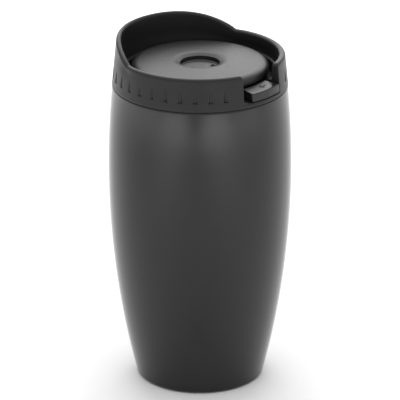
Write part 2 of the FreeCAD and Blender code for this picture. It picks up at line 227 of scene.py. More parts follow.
# %% The lacquered shell
def barrel(z, inset=0.0):
    """Radius of the barrel's arc at a height, moved in by a wall."""
    return BARREL_RADIUS - BARREL_ARC + math.sqrt((BARREL_ARC - inset) ** 2 - (z - BARREL_WIDEST_Z) ** 2)


def barrel_rows(start, end, count, inset=0.0):
    """Rows of the barrel's arc, with no rounding."""
    return [(barrel(z, inset), z, 0) for z in spread(start, end, count)]


def shell():
    """The outer steel barrel, from its foot up over the shoulder and down inside."""
    neck = NECK + LINER_WALL
    under = MOUTH - SHELL_WALL
    corners = [(barrel(BARREL_BOTTOM, SHELL_WALL), BARREL_BOTTOM, 0.15),
               (barrel(BARREL_BOTTOM), BARREL_BOTTOM, 0.3)]
    corners += barrel_rows(BARREL_BOTTOM + 1.2, MOUTH - 1.0, 72)
    corners += [(barrel(MOUTH), MOUTH, 0.35), (neck, MOUTH, 0.1), (neck, under, 0),
                (barrel(under, SHELL_WALL), under, 0)]
    corners += barrel_rows(MOUTH - 4, BARREL_BOTTOM + 2, 12, SHELL_WALL)
    return turned("barrel_shell", rounded(corners), segments=256)


barrel_shell = shell()
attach(barrel_shell, "flask")
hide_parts("outer_shell")

# %% [markdown]
# ## The liner and its thread
#
# The liner shows when the lid comes off. It is a bare steel cup with three thread ridges rolled into its
# neck. A ridge follows a helix, so it can't be part of a turned outline: it is a small four-sided bar
# carried along its own path, and it shrinks to nothing at both ends the way a rolled ridge runs out.

# %% Thread ridges
RIDGE_STEPS = 56
RIDGE_ENDS = 12
RIDGE_START = 90
ROOT_HALF = 0.65
CREST_HALF = 0.4
TUCK = 0.15


def ridge_bar(root, crest, z, turn):
    """Outlines of one thread ridge and their azimuths. It is tucked into the wall that it stands on,
    and runs out over a twelfth of its length at each end."""
    sections = []
    for index in range(RIDGE_STEPS + 1):
        share = index / RIDGE_STEPS
        run_out = min(1.0, RIDGE_ENDS * share, RIDGE_ENDS * (1 - share))
        height = root + (crest - root) * run_out
        rise = z + THREAD_LEAD * THREAD_SPAN * share / 360
        tucked = root - math.copysign(TUCK, crest - root)
        sections.append([(tucked, rise - ROOT_HALF), (height, rise - CREST_HALF),
                         (height, rise + CREST_HALF), (tucked, rise + ROOT_HALF)])
    azimuths = [RIDGE_START + turn + THREAD_SPAN * index / RIDGE_STEPS for index in range(RIDGE_STEPS + 1)]
    return sections, azimuths


def with_ridges(verts, faces, root, crest, z):
    """Adds three thread ridges to the points and faces of a piece."""
    for start in (0, 120, 240):
        sections, azimuths = ridge_bar(root, crest, z, start)
        first = len(verts)
        more, quads = skin(sections, azimuths, closed_round=False, start=first)
        last = first + len(more)
        verts += more
        faces += quads
        faces += [(first + 3, first + 2, first + 1, first), (last - 4, last - 3, last - 2, last - 1)]


# %% The liner
FLOOR_EDGE = 8
LOW_ROW = 16
HIGH_ROW = 62
NECK_FOOT = 64
LINER_CORNER = 6.0


def liner_outline():
    """Both faces of the liner, from the middle of its floor out, up, over the mouth and back."""
    outside = SHELL_WALL + VACUUM_GAP
    inside = outside + LINER_WALL
    wide = NECK + LINER_WALL
    floor = LINER_BOTTOM + LINER_WALL
    corners = [(0, LINER_BOTTOM, 0), (barrel(FLOOR_EDGE, outside), LINER_BOTTOM, LINER_CORNER)]
    corners += barrel_rows(LOW_ROW, HIGH_ROW, 16, outside)
    corners += [(wide, NECK_FOOT, 0), (wide, LINER_TOP, 0.2), (NECK, LINER_TOP, 0.2)]
    corners += [(NECK, z, 0) for z in spread(LINER_TOP - 1.5, NECK_FOOT, 20)]
    corners += barrel_rows(HIGH_ROW, LOW_ROW, 16, inside)
    corners += [(barrel(FLOOR_EDGE, inside), floor, LINER_CORNER - LINER_WALL), (0, floor, 0)]
    return rounded(corners, steps=8)


def cup(segments=192):
    """The liner with its thread."""
    azimuths = [360 * index / segments for index in range(segments)]
    verts, faces = skin([liner_outline()] * segments, azimuths, closed_outline=False)
    with_ridges(verts, faces, NECK, NECK - THREAD_HEIGHT, NECK_RIDGE)
    thing = piece("steel_liner", verts, faces)
    weld(thing)
    return thing


steel_liner = cup()
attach(steel_liner, "flask")
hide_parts("inner_liner")

# %% [markdown]
# ## The foot
#
# A rubber disc is glued into the bottom of the shell and stands a little proud of it, so the steel never
# touches the table. It rests on a ring with fine grooves, which grip better than a flat face.

# %% The rubber foot
HOLLOW = 0.6
GROOVE_DEPTH = 0.35
GROOVES = (23.0, 25.0, 27.0)


def foot():
    """Rubber foot with a hollow middle and three grooves in the ring that it stands on."""
    corners = [(0, HOLLOW, 0), (20.2, HOLLOW, 0.3), (21.0, PAD_BOTTOM, 0.2)]
    for radius in GROOVES:
        corners += [(radius, PAD_BOTTOM, 0.1), (radius + 0.2, GROOVE_DEPTH, 0.1),
                    (radius + 0.7, GROOVE_DEPTH, 0.1), (radius + 0.9, PAD_BOTTOM, 0.1)]
    corners += [(PAD, PAD_BOTTOM, 0.4), (PAD, PAD_TOP, 0.3), (0, PAD_TOP, 0)]
    return turned("rubber_foot", rounded(corners, steps=3), segments=128)


rubber_foot = foot()
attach(rubber_foot, "flask")
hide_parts("base_pad")

# %% [markdown]
# ## The gasket
#
# A flat silicone ring lies between the mouth and the collar and is squeezed when the lid is screwed
# down. Only its edge ever shows. It is a turned rectangle, softened at the corners like any moulded seal.

# %% The gasket under the collar
GASKET_INNER = 36.7
gasket_corners = [(GASKET_INNER, GASKET_BOTTOM, 0.12), (GASKET, GASKET_BOTTOM, 0.15),
                  (GASKET, GASKET_TOP, 0.15), (GASKET_INNER, GASKET_TOP, 0.12)]
gasket = turned("mouth_gasket", rounded(gasket_corners, steps=3), segments=128)
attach(gasket, "lid_gasket")
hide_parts("lid_gasket")

# %% [markdown]
# ## The lid's body
#
# Collar, ledge and threaded plug are one moulding. Its outline is worked out for every azimuth:
#
# - the rim is a soft bead at the end of the wall, and over the lip its height follows a curve that is
#   flat in the middle and falls faster and faster, so that it meets the low rim in a kink;
# - just outside that kink the wall is pressed in a little, where a finger finds the lip;
# - the flutes are shallow drops, sharp at the bottom and running out to a point at the top;
# - the window is left open between two jambs, and the wall's outline shrinks over the last fraction of
#   a millimetre before each jamb, which rounds every edge of it without a bevel modifier.
#
# The azimuths are crowded together where something happens and spread out where nothing does.

# %% Shapes along the collar
SIDE_RADIUS = 42.15
SIDE_FOOT = 149.9
SIDE_HEIGHT = 11.6
SIDE_LEAN = 0.10345
SIDE_BOW = 0.000397
RIM_CORNER = 1.7
RIM_MIDDLE = 40.0


def collar_side(z):
    """Outer radius of the collar, which leans in as it rises."""
    up = z - SIDE_FOOT
    return SIDE_RADIUS - SIDE_LEAN * up + SIDE_BOW * up * (up - SIDE_HEIGHT)


def around(azimuth, centre):
    """Degrees from a centre azimuth, between -180 and 180."""
    return (azimuth - centre + 180) % 360 - 180


def quarter(distance, radius):
    """How far a rounded edge has dropped at a distance from its end."""
    if distance >= radius:
        return 0.0
    return radius - math.sqrt(radius ** 2 - (radius - distance) ** 2)


def rim_height(azimuth):
    """Top of the rim, with the lip and the rounded corners at the window."""
    offset = abs(around(azimuth, 180))
    lip = max(0.0, 1 - (offset / LIP_HALF) ** LIP_POWER) * (LIP_TOP - LOW_RIM)
    from_jamb = math.radians(180 - offset - WINDOW_HALF) * RIM_MIDDLE
    return LOW_RIM + lip - quarter(max(0.0, from_jamb), RIM_CORNER)


print("rim from", round(rim_height(60), 1), "to", round(rim_height(180), 1), "mm")

# %% Flutes and dips
FLUTE_STEP = 10
FLUTE_FREE = 25
FLUTE_RADIUS = 41.8
FLUTE_HALF = 1.15
FLUTE_DEPTH = 0.75
DIP_Z = 163.0
DIP_DEPTH = 0.45
DIP_DEGREES = 5.5
DIP_HEIGHT = 2.4


def flute_depth(azimuth, z):
    """Depth of the grip flutes: one every ten degrees, except near the lever."""
    if abs(around(azimuth, 0)) < FLUTE_FREE or not FLUTE_BOTTOM < z < FLUTE_TOP:
        return 0.0
    half_step = FLUTE_STEP / 2
    across = math.radians(abs((azimuth + half_step) % FLUTE_STEP - half_step)) * FLUTE_RADIUS
    up = (z - FLUTE_BOTTOM) / (FLUTE_TOP - FLUTE_BOTTOM)
    half_width = FLUTE_HALF * (1 - up) ** 0.55
    return FLUTE_DEPTH * (1 - up) ** 0.5 * max(0.0, 1 - (across / half_width) ** 2)


def finger_dip(azimuth, z):
    """Soft hollow in the outside of the wall at each end of the lip."""
    along = (abs(around(azimuth, 180)) - LIP_HALF) / DIP_DEGREES
    up = (z - DIP_Z) / DIP_HEIGHT
    return DIP_DEPTH * math.exp(-along ** 2 - up ** 2)


print("a flute is", round(flute_depth(30, FLUTE_BOTTOM + 0.1), 2), "mm deep near its foot")

# %% Rows and columns of the lid
DRIP = MOUTH + 0.42
DRIP_INNER = 41.35
JAMB_RADIUS = 41.0
BEAD = 1.4
LOW_ROWS = [SIDE_FOOT, 150.5, 151.0, 151.15, SILL, 152.0, 152.8, 153.3, 153.46, 153.54, 153.8, 154.2, 154.7,
            155.2, 155.8, 156.4, 157.0, 157.6, 158.2, 158.8, 159.4]
PLUG_ROWS = rounded([(PLUG_BORE, PLUG_BOTTOM, 0.4), (PLUG, PLUG_BOTTOM, 0.5), (PLUG, COLLAR_BOTTOM, 0.3),
                     (DRIP_INNER, COLLAR_BOTTOM, 0), (DRIP_INNER, DRIP, 0.05), (SIDE_RADIUS, DRIP, 0.12)],
                    steps=3)
BEAD_STEPS = 10


def wall_outline(azimuth, inset):
    """Outline of the lid at an azimuth. The wall above the sill is drawn in by the inset."""
    top = rim_height(azimuth) - inset
    bead = BEAD - inset
    bead_z = top - bead
    outer = []
    for z in LOW_ROWS:
        pressed = flute_depth(azimuth, z) + finger_dip(azimuth, z) + (inset if z > SILL else 0)
        outer.append((collar_side(z) - pressed, z))
    outer += [(collar_side(z) - finger_dip(azimuth, z) - inset, z) for z in spread(160.2, bead_z, 9)]
    inner_top = RIM_INNER + 0.1 + inset
    outer_top, bead_z = outer[-1]
    middle = (outer_top + inner_top) / 2
    half = (outer_top - inner_top) / 2
    turns = [math.pi * step / BEAD_STEPS for step in range(1, BEAD_STEPS)]
    crest = [(middle + half * math.cos(turn), bead_z + bead * math.sin(turn)) for turn in turns]
    inner = [(inner_top, bead_z), (inner_top, (bead_z + LEDGE) / 2), (37.6 + inset, LEDGE + 1.2),
             (37.2 + inset, LEDGE + 0.35), (WELL + 0.3, LEDGE), (WELL + 0.08, LEDGE - 0.08),
             (WELL, LEDGE - 0.3), (WELL, SILL), (WELL, SEAT_UNDERSIDE), (PLUG_BORE, SEAT_UNDERSIDE)]
    return PLUG_ROWS + outer + crest + inner


def lid_azimuths():
    """Azimuths from the right jamb round to the left one, then across the window."""
    degree = math.degrees(1 / JAMB_RADIUS)
    jamb = [distance * degree for distance in (0, 0.03, 0.09, 0.18, 0.3, 0.6, 0.9, 1.3, RIM_CORNER)]
    places = {round(WINDOW_HALF + step, 3) for step in jamb}
    places |= {round(20.5 + 1.5 * index, 3) for index in range(107)}
    across = (0, 0.4, 0.8, 1.15, 1.5, 1.9)
    for flute in range(30, 190, FLUTE_STEP):
        places |= {round(flute + side * step, 3) for step in across for side in (-1, 1)}
    places |= {180 - LIP_HALF + step for step in (-0.6, 0, 0.6)}
    half = sorted(azimuth for azimuth in places if azimuth <= 180)
    around_back = half + [360 - azimuth for azimuth in reversed(half) if azimuth < 180]
    across_window = [360 + azimuth for azimuth in spread(-WINDOW_HALF, WINDOW_HALF, 15)[1:-1]]
    return around_back, across_window


wall_azimuths, window_azimuths = lid_azimuths()
print(len(wall_azimuths), "columns of wall and", len(window_azimuths), "across the window")

# %% The lid's body as one mesh
JAMB_ROUND = 0.3


def jamb_inset(azimuth):
    """How far the wall's outline shrinks next to a jamb."""
    from_jamb = math.radians(abs(around(azimuth, 0)) - WINDOW_HALF) * JAMB_RADIUS
    return quarter(max(0.0, from_jamb), JAMB_ROUND)


def lid_mesh():
    """Wall and plug all round, the sill and the two jambs, and the thread ridges. The outline meets the
    sill twice: on the way up outside, and at its third point from the end inside."""
    columns = wall_azimuths + window_azimuths
    outlines = [wall_outline(azimuth, jamb_inset(azimuth)) for azimuth in wall_azimuths]
    outlines += [wall_outline(azimuth, 0.0) for azimuth in window_azimuths]
    count = len(outlines[0])
    sill_out = len(PLUG_ROWS) + LOW_ROWS.index(SILL)
    sill_in = count - 3
    for outline in outlines[len(wall_azimuths):]:
        outline[sill_out] = (outline[sill_out][0] - JAMB_ROUND, SILL)
        outline[sill_out - 1] = (outline[sill_out - 1][0] - 0.08, SILL - 0.08)
    verts, faces = skin(outlines, columns)
    opening = range(len(wall_azimuths) - 1, len(columns))
    kept = []
    for face in faces:
        column, row = divmod(face[0], count)
        if column not in opening or not sill_out <= row < sill_in:
            kept.append(face)
    for column in opening:
        here = column * count
        there = (column + 1) % len(columns) * count
        kept.append((here + sill_out, there + sill_out, there + sill_in, here + sill_in))
    left = (len(wall_azimuths) - 1) * count
    kept.append([left + row for row in range(sill_out, sill_in + 1)])
    kept.append([row for row in range(sill_in, sill_out - 1, -1)])
    with_ridges(verts, kept, PLUG, PLUG + THREAD_HEIGHT, PLUG_RIDGE)
    return piece("lid_moulding", verts, kept, crease=32)


lid_moulding = lid_mesh()
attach(lid_moulding, "lid")
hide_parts("lid_body")

# %% [markdown]
# ## The cover and the button
#
# The cover is a shallow dome with a rounded edge, dished around a hole in its middle, where the
# button sits a little below the surface. Both are plain turned outlines. The button's face is sunk a
# little behind a thin rim, so that a fingertip finds it. A small raised triangle on it points the way
# that the lid unscrews.

# %% The domed cover
DISH = 12.6
HOLE = 9.5
HOLE_EDGE = 159.95
EDGE_ROUND = 4.0
EDGE_DROP = 2.6
DOME_DROP = 0.5
COVER_UNDER = 156.5
RING_FOOT = 153.65
RING_ROOT = 159.1


def dome(radius):
    """Height of the cover's top between the dish and the rounded edge."""
    share = (radius - DISH) / (COVER - EDGE_ROUND - DISH)
    return COVER_TOP - DOME_DROP * share * share


def cover_piece():
    """Cover with the dish, the dome, a drip edge, and the rings under it."""
    shoulder = COVER - EDGE_ROUND
    corners = [(HOLE, SPIGOT_BOTTOM, 0.1), (HOLE, HOLE_EDGE, 0.12), (DISH - 1.2, COVER_TOP - 0.45, 0.4),
               (DISH + 0.4, dome(DISH + 0.4), 0.8)]
    corners += [(radius, dome(radius), 0) for radius in spread(DISH + 1.6, shoulder, 14)]
    for step in range(1, 13):
        turn = math.radians(90 - 7.5 * step)
        drop = EDGE_DROP * (1 - math.sin(turn))
        corners.append((shoulder + EDGE_ROUND * math.cos(turn), dome(shoulder) - drop, 0))
    corners += [(COVER, COVER_UNDER, 0.25), (31.6, COVER_UNDER, 0.2), (31.0, 158.6, 0.8), (28.0, 159.4, 0),
                (14.4, 159.7, 0), (14.4, RING_FOOT, 0.1), (12.8, RING_FOOT, 0.1), (12.8, RING_ROOT, 0),
                (11.05, RING_ROOT, 0), (11.05, SPIGOT_BOTTOM, 0.1)]
    return turned("cover_dome", rounded(corners, steps=6), segments=192, crease=30)


cover_dome = cover_piece()
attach(cover_dome, "lid")
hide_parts("dial_cover")

# %% The button with its triangle
FACE_DEPTH = 0.35
BUTTON_UNDER = 157.0
SKIRT_FOOT = 154.2
STEM_TOP = 154.5
STEM = 1.6
FRAME_WIDTH = 0.35


def button_piece():
    """Button with a sunk face, a skirt, and the stem below it."""
    sunk = BUTTON_FACE - FACE_DEPTH
    corners = [(0, sunk, 0), (8.3, sunk, 0.2), (8.7, BUTTON_FACE, 0.1), (BUTTON, BUTTON_FACE, 0.25),
               (BUTTON, SKIRT_FOOT, 0.1), (8.3, SKIRT_FOOT, 0.1), (8.3, BUTTON_UNDER, 0.3),
               (3.0, BUTTON_UNDER, 0), (3.0, STEM_TOP, 0.2), (STEM, STEM_TOP, 0), (STEM, STEM_BOTTOM, 0.2),
               (0, STEM_BOTTOM, 0)]
    return turned("button_cap", rounded(corners, steps=4), segments=96)


def raised_frame(name, outline, width, bottom, top):
    """Raised frame along a flat outline of places, narrower on top than at its foot."""
    middle = sum(outline, Vector((0, 0, 0))) / len(outline)
    shapes = [(1.0, bottom), (0.95, top), (0.95 - width, top), (0.90 - width, bottom)]
    count = len(outline)
    verts = [middle.lerp(point, scale) + Vector((0, 0, z * MM)) for scale, z in shapes for point in outline]
    faces = []
    for ring in range(4):
        here, there = ring * count, (ring + 1) % 4 * count
        for index in range(count):
            after = (index + 1) % count
            faces.append((here + index, here + after, there + after, there + index))
    return piece(name, verts, faces)


button_cap = button_piece()
arrow_outline = [place(4.9, 47, 0), place(7.4, 47, 0), place(6.6, 73, 0)]
button_arrow = raised_frame("button_arrow", arrow_outline, FRAME_WIDTH, BUTTON_FACE - 0.45, BUTTON_FACE)
for thing in (button_cap, button_arrow):
    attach(thing, "button")
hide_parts("vent_button")

# %% [markdown]
# ## The spring under the button
#
# A small coil of round steel wire stands on the lid's floor and lifts the button again. Here it moves with
# the lid, and it gets a mesh of its own. The coil is an outline of the wire carried along a helix, with a
# flat cut at each end.

# %% The coil
SPRING_TURNS = 4
WIRE = 0.3
STEPS_PER_TURN = 36


def spring_piece():
    """Helical spring of round wire, standing upright on the axis."""
    steps = SPRING_TURNS * STEPS_PER_TURN
    turns = [math.radians(angle) for angle in range(0, 360, 30)]
    ring = [(WIRE * math.cos(turn), WIRE * math.sin(turn)) for turn in turns]
    outlines = [[(SPRING - WIRE + out, z + up) for out, up in ring]
                for z in spread(SPRING_BOTTOM + WIRE, SPRING_TOP - WIRE, steps + 1)]
    azimuths = [90 + 360 * step / STEPS_PER_TURN for step in range(steps + 1)]
    verts, faces = skin(outlines, azimuths, closed_round=False)
    last = steps * len(ring)
    faces.append(list(range(len(ring))))
    faces.append([last + index for index in reversed(range(len(ring)))])
    return piece("button_coil", verts, faces, crease=50)


button_coil = spring_piece()
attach(button_coil, "lid")
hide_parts("button_spring")
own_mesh(button_coil)

# %% [markdown]
# ## The thumb lever
#
# The lever fills most of the window and its face carries on the collar's side. Its top leans outwards
# for the thumb, with a shallow scoop, and an engraved arrow shows which way it opens. It is built like the
# lid's wall: an outline for every azimuth, drawn in at both ends to round them. The arrow is cut into
# the same mesh by lowering the points near its lines, so the top needs a fine grid.

# %% The lever
LEVER_MIDDLE = (LEVER_LEFT + LEVER_RIGHT) / 2
LEVER_FALL = 0.5
LEVER_DEPTH = 8.0
LEVER_EDGE = 0.45
SCOOP = 0.15
SCOOP_HALF = 13.5
ARROW_RADIUS = 37.2
ARROW = [((1.7, 37.2), (5.6, 37.2)), ((1.7, 37.2), (3.0, 38.6)), ((1.7, 37.2), (3.0, 35.8))]
GROOVE_HALF = 0.38
GROOVE_CUT = 0.35


def to_segment(point, start, end):
    """Distance of a point from a segment, in the plane."""
    along = end - start
    share = max(0.0, min(1.0, (point - start).dot(along) / along.dot(along)))
    return (point - start - along * share).length


def arrow_groove(azimuth, radius):
    """Depth of the engraved arrow, which points the way that the lever opens. The arrow is drawn flat:
    mm along the lever's arc, and mm of radius."""
    here = Vector((math.radians(azimuth) * ARROW_RADIUS, radius))
    nearest = min(to_segment(here, Vector(start), Vector(end)) for start, end in ARROW)
    return GROOVE_CUT * max(0.0, 1 - (nearest / GROOVE_HALF) ** 2)


def lever_top(azimuth, radius):
    """Height of the lever's top. It falls a little outwards, has a shallow scoop, and holds the arrow."""
    along = (azimuth - LEVER_MIDDLE) / SCOOP_HALF
    outwards = (radius - LEVER_INNER) / LEVER_DEPTH
    scoop = SCOOP * max(0.0, 1 - along ** 2) * math.sin(math.pi * min(1.0, outwards))
    return LEVER_TOP - LEVER_FALL * outwards - scoop - arrow_groove(azimuth, radius)


def lever_outline(azimuth, inset):
    """Outline of the lever: underside, face, scooped top and inner side."""
    foot = LEVER_BOTTOM + inset
    face_low = collar_side(LEVER_BOTTOM) - inset
    face_high = collar_side(LEVER_TOP - LEVER_FALL) - inset
    inner = LEVER_INNER + inset
    edge = LEVER_EDGE
    crest = lever_top(azimuth, face_high) - inset - edge
    outline = [(inner, foot), (face_low - 0.2, foot), (face_low, foot + 0.2), (face_high + 0.1, crest - 0.8)]
    for step in range(5):
        turn = math.pi / 2 * step / 4
        outline.append((face_high - edge + edge * math.cos(turn), crest + edge * math.sin(turn)))
    for radius in spread(face_high - edge - 0.2, inner + 0.5, 36):
        outline.append((radius, lever_top(azimuth, radius) - inset))
    outline += [(inner + 0.15, LEVER_TOP - inset - 0.1), (inner, LEVER_TOP - inset - 0.3)]
    return outline


def lever_piece():
    """The lever, closed at both ends."""
    degree = math.degrees(1 / JAMB_RADIUS)
    ends = [distance * degree for distance in (0, 0.03, 0.1, 0.2, 0.32, LEVER_EDGE)]
    azimuths = [LEVER_LEFT + step for step in ends] + spread(LEVER_LEFT + 0.9, LEVER_RIGHT - 0.9, 110)
    azimuths += [LEVER_RIGHT - step for step in reversed(ends)]
    outlines = []
    for azimuth in azimuths:
        from_end = math.radians(min(azimuth - LEVER_LEFT, LEVER_RIGHT - azimuth)) * JAMB_RADIUS
        outlines.append(lever_outline(azimuth, quarter(max(0.0, from_end), LEVER_EDGE)))
    verts, faces = skin(outlines, azimuths, closed_round=False)
    count = len(outlines[0])
    faces.append(list(reversed(range(count))))
    faces.append(list(range(len(verts) - count, len(verts))))
    return piece("lever_slider", verts, faces, crease=40)


lever_slider = lever_piece()
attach(lever_slider, "lever")
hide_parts("thumb_lever")

# %% [markdown]
# ## Shader maths
#
# Every finish below is worked out from the place of a point on the object: there are no image files,
# and a pattern made this way never stretches or shows a seam. To keep the recipes readable, a socket is
# wrapped in a small class, so that `1 - mask * 0.3` adds the Math nodes by itself. Everything that isn't
# plain maths comes from one method, which sets a node's own settings first and its sockets after.

# %% A socket that does maths
class Wire:
    """An output socket on which numbers and other wires can be added, taken away and multiplied."""

    def __init__(self, tree, socket):
        self.tree = tree
        self.socket = socket

    def math(self, operation, first, second):
        """One Math node."""
        node = self.tree.nodes.new("ShaderNodeMath")
        node.operation = operation
        feed(self.tree, node.inputs[0], first)
        feed(self.tree, node.inputs[1], second)
        return Wire(self.tree, node.outputs[0])

    def __add__(self, other):
        return self.math("ADD", self, other)

    def __sub__(self, other):
        return self.math("SUBTRACT", self, other)

    def __rsub__(self, other):
        return self.math("SUBTRACT", other, self)

    def __mul__(self, other):
        return self.math("MULTIPLY", self, other)

    __radd__ = __add__
    __rmul__ = __mul__


def feed(tree, target, value):
    """Links a wire to a socket, or writes a plain value on it."""
    if isinstance(value, Wire):
        tree.links.new(value.socket, target)
    else:
        target.default_value = value


# %% Trees and finishes
class Tree:
    """A node tree, and the one way in which nodes are added to it."""

    def __init__(self, tree):
        self.tree = tree

    def node(self, kind, sockets, output=0, stops=(), **settings):
        """Any node: its settings and stops first, then its sockets. Gives one of its outputs."""
        node = self.tree.nodes.new(kind)
        for setting, value in settings.items():
            setattr(node, setting, value)
        for index, (position, color) in enumerate(stops):
            ramp = node.color_ramp.elements
            stop = ramp[index] if index < 2 else ramp.new(position)
            stop.position = position
            stop.color = color
        by_name = {socket.identifier: socket for socket in node.inputs}
        for key, value in sockets.items():
            feed(self.tree, by_name[key], value)
        return Wire(self.tree, node.outputs[output])


class Finish(Tree):
    """A material: a Principled shader, and the nodes that feed it."""

    def __init__(self, name):
        self.material = bpy.data.materials.new(name)
        self.material.use_nodes = True
        super().__init__(self.material.node_tree)
        self.shader = self.tree.nodes["Principled BSDF"]
        self.place = self.node("ShaderNodeTexCoord", {}, output="Object")
        print("finish", name)

    def shade(self, **sockets):
        """Feeds the shader. Sockets are named in small letters, with underscores."""
        for key, value in sockets.items():
            name = key.replace("_", " ").title().replace("Ior", "IOR")
            feed(self.tree, self.shader.inputs[name], value)
        return self.material


# %% [markdown]
# ## Patterns that the finishes share
#
# Four patterns come back in most of the finishes:
#
# - grain: noise of a given size in millimetres,
# - a ramp that turns a value into a mask between two limits,
# - a tint that goes from one colour to another,
# - relief: a Bump node whose depth is a real length.
#
# The rest are measures that a pattern can follow: the height, the distance from the axis, and places
# squeezed so that a pattern turns into rings.

# %% Grain, mask, tint and relief
def grain(finish, size, detail=3.0, where=None):
    """Noise whose features are about a size in mm."""
    vector = where or finish.place
    return finish.node("ShaderNodeTexNoise", {"Vector": vector, "Scale": 1 / (size * MM), "Detail": detail,
                                              "Roughness": 0.55})


def mask(finish, value, low, high):
    """0 where a value is at the low limit, 1 at the high one, smooth between."""
    return finish.node("ShaderNodeMapRange", {"Value": value, "From Min": low, "From Max": high},
                       interpolation_type="SMOOTHSTEP", clamp=True)


def tint(finish, factor, dark, light):
    """Colour between a dark and a light one."""
    sockets = {"Factor_Float": factor, "A_Color": (*dark, 1), "B_Color": (*light, 1)}
    return finish.node("ShaderNodeMix", sockets, output=2, data_type="RGBA")


def relief(finish, height, depth, strength=1.0, under=None):
    """Normal of a surface that a height map raises by a depth in mm."""
    sockets = {"Height": height, "Distance": depth * MM, "Strength": strength}
    if under:
        sockets["Normal"] = under
    return finish.node("ShaderNodeBump", sockets)


def height_of(finish):
    """Height above the foot, in metres."""
    return finish.node("ShaderNodeSeparateXYZ", {"Vector": finish.place}, output=2)


def vector_math(finish, operation, first, second=(0, 0, 0), output=0):
    """One Vector Math node."""
    return finish.node("ShaderNodeVectorMath", {"Vector": first, "Vector_001": second}, output=output,
                       operation=operation)


def radius_of(finish):
    """Distance from the axis, in metres."""
    return vector_math(finish, "LENGTH", vector_math(finish, "MULTIPLY", finish.place, (1, 1, 0)), output=1)


def rings(finish, squeeze=0.03):
    """Places squeezed so that a pattern on them turns into rings round the axis."""
    flat = vector_math(finish, "MULTIPLY", finish.place, (squeeze, squeeze, 1))
    lift = finish.node("ShaderNodeCombineXYZ", {"Z": radius_of(finish)})
    return vector_math(finish, "ADD", flat, lift)


# %% [markdown]
# ## Dark gloss lacquer
#
# The barrel looks almost black, yet it isn't plain black paint. Very fine metal flakes float in a dark
# clear lacquer, and what the eye sees is mostly the surface's reflection of the room: faint when it is
# looked at squarely and strong at the edges. A mirror-smooth surface would look like a computer's, so
# three small faults are added: orange peel a few millimetres wide, flakes that differ in brightness, and
# a faint haze where hands hold the middle.

# %% Lacquer
def lacquer():
    """Dark gloss with orange peel, fine flakes, and haze on its middle."""
    finish = Finish("gunmetal_lacquer")
    cells = finish.node("ShaderNodeTexVoronoi", {"Vector": finish.place, "Scale": 1 / (0.18 * MM)},
                        output="Color")
    flake = finish.node("ShaderNodeSeparateColor", {"Color": cells})
    cloud = grain(finish, 14, 2.0)
    height = height_of(finish)
    handled = mask(finish, height, 0.03, 0.07) * (1 - mask(finish, height, 0.11, 0.14))
    haze = mask(finish, grain(finish, 20, 4.0), 0.48, 0.72) * handled
    wipes = mask(finish, grain(finish, 0.5, 2.0, rings(finish)), 0.4, 0.75)
    sparkle = mask(finish, flake, 0.55, 1.0)
    colour = tint(finish, sparkle * 0.75 + cloud * 0.25, (0.003, 0.003, 0.0033), (0.011, 0.011, 0.0118))
    return finish.shade(base_color=colour, roughness=0.105 + haze * 0.035 + wipes * 0.012, ior=1.46,
                        normal=relief(finish, grain(finish, 3.0, 1.0), 0.006, 0.6))


gunmetal = lacquer()

# %% [markdown]
# ## Moulded plastic
#
# The lid is polypropylene from a mould whose faces were spark-eroded, so its surface is a fine, dense
# grain and not a gloss. Grain changes two things: it breaks up the reflection, which is roughness, and
# under a low light it casts tiny shadows, which is relief. Both are needed, because roughness alone
# looks like fog. Where fingers and lips rub, the peaks of the grain wear down and shine a little more,
# so a mask lowers the roughness there. One recipe serves the lid, the cover, the lever and the button,
# each with a roughness of its own, and the hidden parts get a coarser mould.

# %% Plastics
def moulded_plastic(name, colour, roughness, size, depth, worn=None, reflection=0.5):
    """Black polypropylene with a spark-eroded grain. The worn function masks the rubbed places, and
    reflection is 0.5 for a plain plastic surface and less for a duller one."""
    finish = Finish(name)
    fine = grain(finish, size, 2.0)
    coarse = grain(finish, size * 6, 3.0)
    shade = grain(finish, 9, 3.0)
    level = roughness + (coarse - 0.5) * 0.10 + (fine - 0.5) * 0.08
    if worn:
        rubbed = worn(finish)
        level = level - rubbed * 0.09 * mask(finish, coarse, 0.35, 0.6)
    pale = tuple(1.35 * part for part in colour)
    texture = relief(finish, fine, depth, 0.8, relief(finish, coarse, depth * 1.5, 0.5))
    return finish.shade(base_color=tint(finish, shade * 0.6 + fine * 0.4, colour, pale), roughness=level,
                        specular_ior_level=reflection, normal=texture)


def rubbed_lip(finish):
    """Rim and lip, where the mouth touches."""
    return mask(finish, height_of(finish), 0.163, 0.170)


def rubbed_middle(finish):
    """Patches of the lever and of the button that fingers have rubbed."""
    return mask(finish, grain(finish, 3.5, 2.0), 0.4, 0.6)


SOFT_BLACK = (0.0075, 0.0077, 0.0082)
lid_black = moulded_plastic("lid_polypropylene", (0.0045, 0.0047, 0.0050), 0.44, 0.26, 0.012, rubbed_lip, 0.4)
cover_black = moulded_plastic("cover_polypropylene", SOFT_BLACK, 0.42, 0.26, 0.014)
lever_black = moulded_plastic("lever_polypropylene", SOFT_BLACK, 0.38, 0.22, 0.010, rubbed_middle)
button_black = moulded_plastic("button_polypropylene", SOFT_BLACK, 0.40, 0.22, 0.010, rubbed_middle)
inner_black = moulded_plastic("inner_polypropylene", (0.0090, 0.0090, 0.0095), 0.34, 0.60, 0.008)

# %% [markdown]
# ## Metals
#
# Steel that is spun while a brush rests on it gets fine rings. The rings come from noise that is
# squeezed along two axes, so that it hardly changes round the piece but changes fast across it. The same
# rings drive the colour, the roughness and the relief, as they do on the real steel, where all three have
# one cause. The copper foil inside the vacuum is only wrapped by hand, so it has creases instead.

